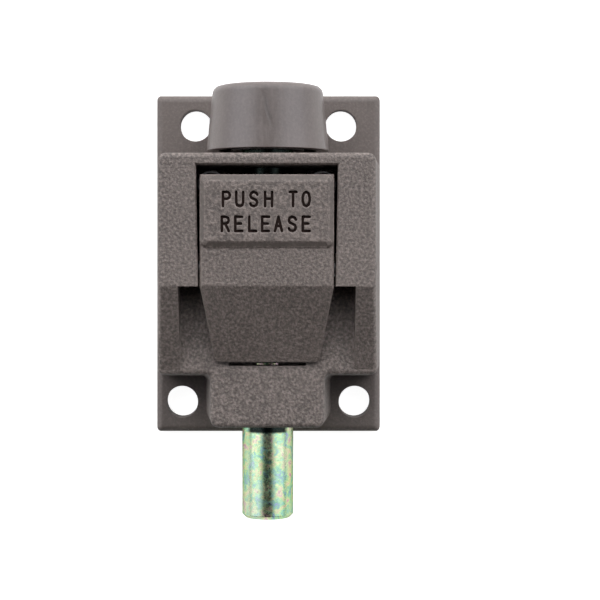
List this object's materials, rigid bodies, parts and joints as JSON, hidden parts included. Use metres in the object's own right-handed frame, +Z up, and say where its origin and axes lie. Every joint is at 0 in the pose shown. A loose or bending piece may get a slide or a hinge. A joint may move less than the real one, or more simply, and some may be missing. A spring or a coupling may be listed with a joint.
{
  "type": "foot bolt",
  "caption": "Foot bolt for a sliding door: moulded housing with a sprung push-down bolt, a foot knob and a rocker release lever.",
  "frame": {"origin": "middle of the mounting plate, on the face that lies against the door", "axes": "+Z up along the bolt, away from its tip; +X to the right seen from the front; +Y into the door, so the front faces -Y"},
  "size_m": [0.0364, 0.025, 0.067],
  "materials": {
    "moulded_brown": "fine sand grain",
    "yellow_zinc": "yellow zinc plate with a green and pink cast",
    "zinc_steel": "clear zinc plate",
    "spring_steel": "drawn wire"
  },
  "bodies": {
    "housing": {"housing": "moulded_brown", "pivot_pin": "zinc_steel", "return_spring": "spring_steel", "button_spring_left": "spring_steel", "button_spring_right": "spring_steel"},
    "bolt": {"bolt": "yellow_zinc", "knob": "moulded_brown", "thrust_washer": "zinc_steel", "retaining_clip": "zinc_steel"},
    "lever": {"release_lever": "moulded_brown"}
  },
  "joints": [
    {"name": "bolt_slide", "type": "slide", "parent": "housing", "child": "bolt", "axis": [0, 0, 1], "range_m": [0, 0.0144], "deforming": ["return_spring"]},
    {"name": "lever_press", "type": "hinge", "parent": "housing", "child": "lever", "pos_m": [0, -0.0202, -0.0007], "axis": [-1, 0, 0], "range_deg": [0, 7], "stiffness_Nm_per_rad": 0.05, "deforming": ["button_spring_left", "button_spring_right"]}
  ]
}
